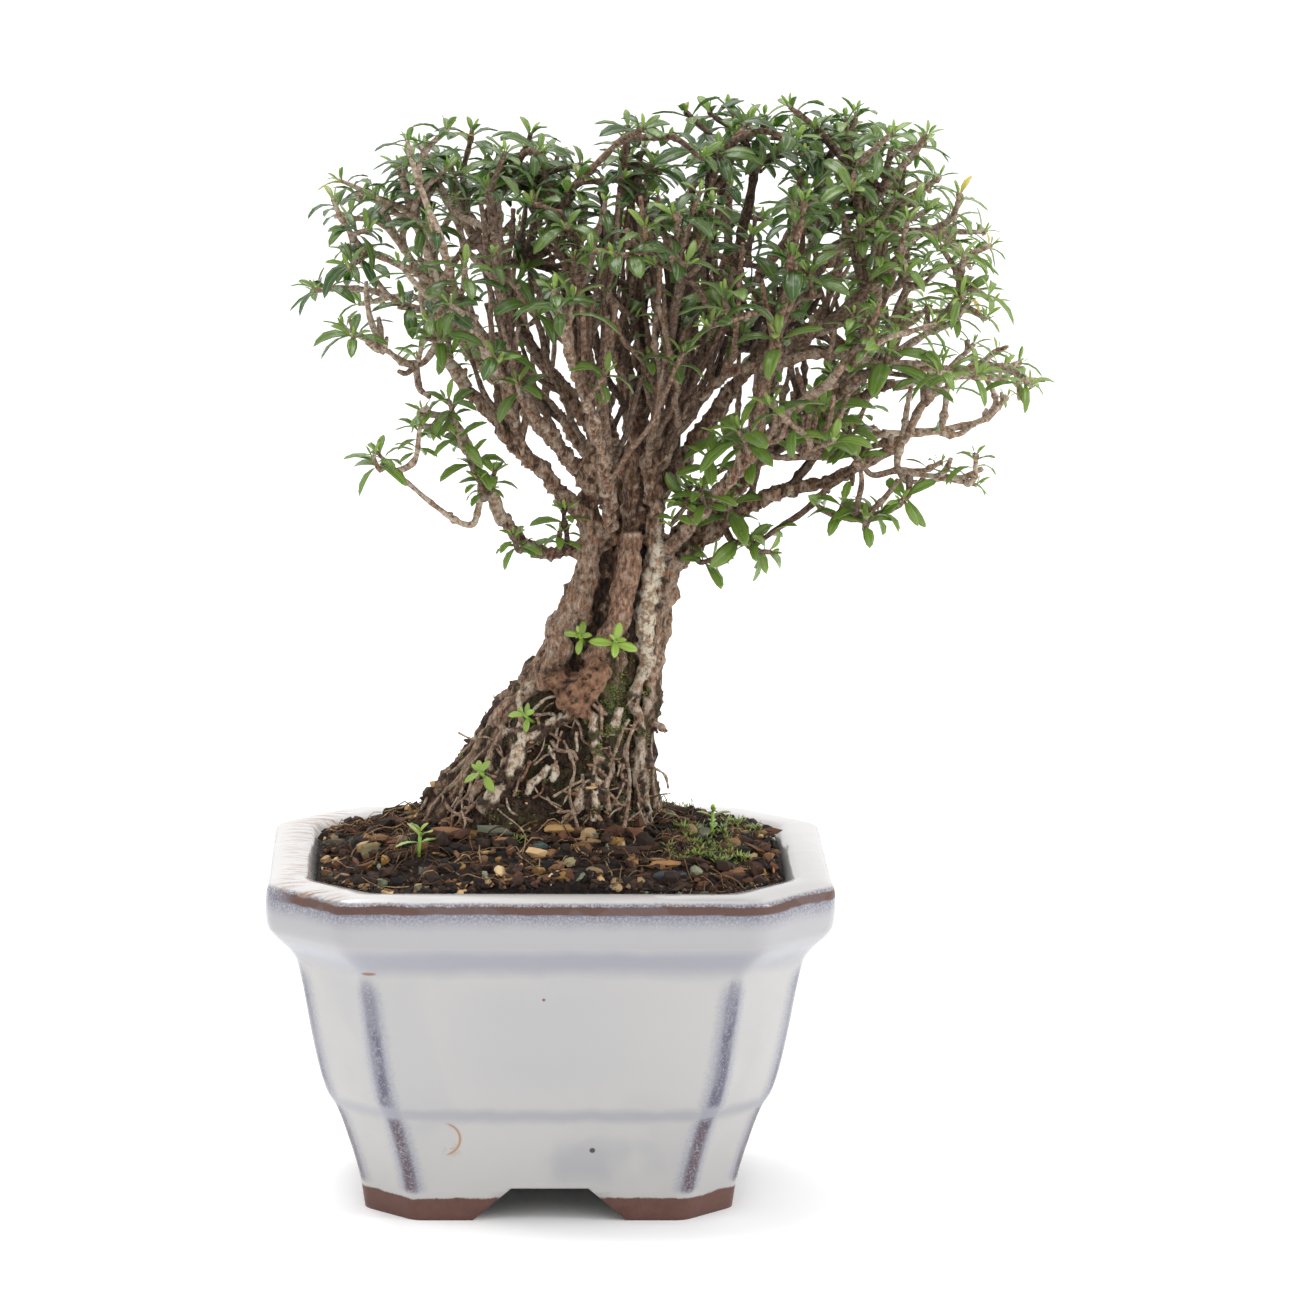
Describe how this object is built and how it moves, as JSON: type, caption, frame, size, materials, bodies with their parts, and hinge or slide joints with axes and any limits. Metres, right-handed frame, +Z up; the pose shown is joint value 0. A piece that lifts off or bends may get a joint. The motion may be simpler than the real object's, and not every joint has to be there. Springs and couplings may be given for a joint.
{
  "type": "serissa bonsai in a pot",
  "caption": "Serissa bonsai with a leaning root-wrapped trunk and a broad leafy crown, growing in soil in a glazed footed pot with cut corners.",
  "frame": {"origin": "on the ground, under the middle of the whole tree and pot; the pot's own middle is 24.6 mm towards -X", "axes": "+X to the viewer's right with the front towards -Y, +Y to the back, +Z up"},
  "size_m": [0.1802, 0.1228, 0.2591],
  "materials": {
    "glaze": "cream glaze with a blue-grey cast, brown where it breaks over the rim and the corners; bare red clay on the feet",
    "earth": "dark granular soil with tan, brown and grey-green pebbles and fibres",
    "bark": "rough flaking grey-brown bark",
    "leaf": "waxy dark green leaves on brown twigs",
    "young_leaf": "bright green young leaves",
    "screen": "black plastic net",
    "wire": "dark anodised wire"
  },
  "bodies": {
    "root": {"branch_back_far_right": "leaf", "branch_back_high": "leaf", "branch_back_left": "leaf", "branch_back_right": "leaf", "branch_centre_back": "leaf", "branch_centre_front": "leaf", "branch_centre_up": "leaf", "branch_front_far_right": "leaf", "branch_front_high": "leaf", "branch_left_back": "leaf", "branch_left_front": "leaf", "branch_left_long": "leaf", "branch_left_low": "leaf", "branch_left_mid": "leaf", "branch_left_rear": "leaf", "branch_left_upright": "leaf", "branch_low_front": "leaf", "branch_middle_front": "leaf", "branch_right_front_high": "leaf", "branch_right_front_up": "leaf", "branch_right_long": "leaf", "branch_right_low": "leaf", "branch_right_mid": "leaf", "branch_right_rear_mid": "leaf", "branch_right_rear_up": "leaf", "branch_right_shoulder": "leaf", "branch_right_tip": "leaf", "branch_top_left": "leaf", "branch_top_middle": "leaf", "branch_top_rear": "leaf", "drain_screen": "screen", "pot": "glaze", "screen_wire": "wire", "seedling_1": "young_leaf", "seedling_2": "young_leaf", "soil": "earth", "sprout_1": "young_leaf", "sprout_2": "young_leaf", "sprout_3": "young_leaf", "sprout_4": "young_leaf", "trunk": "bark"}
  },
  "joints": []
}
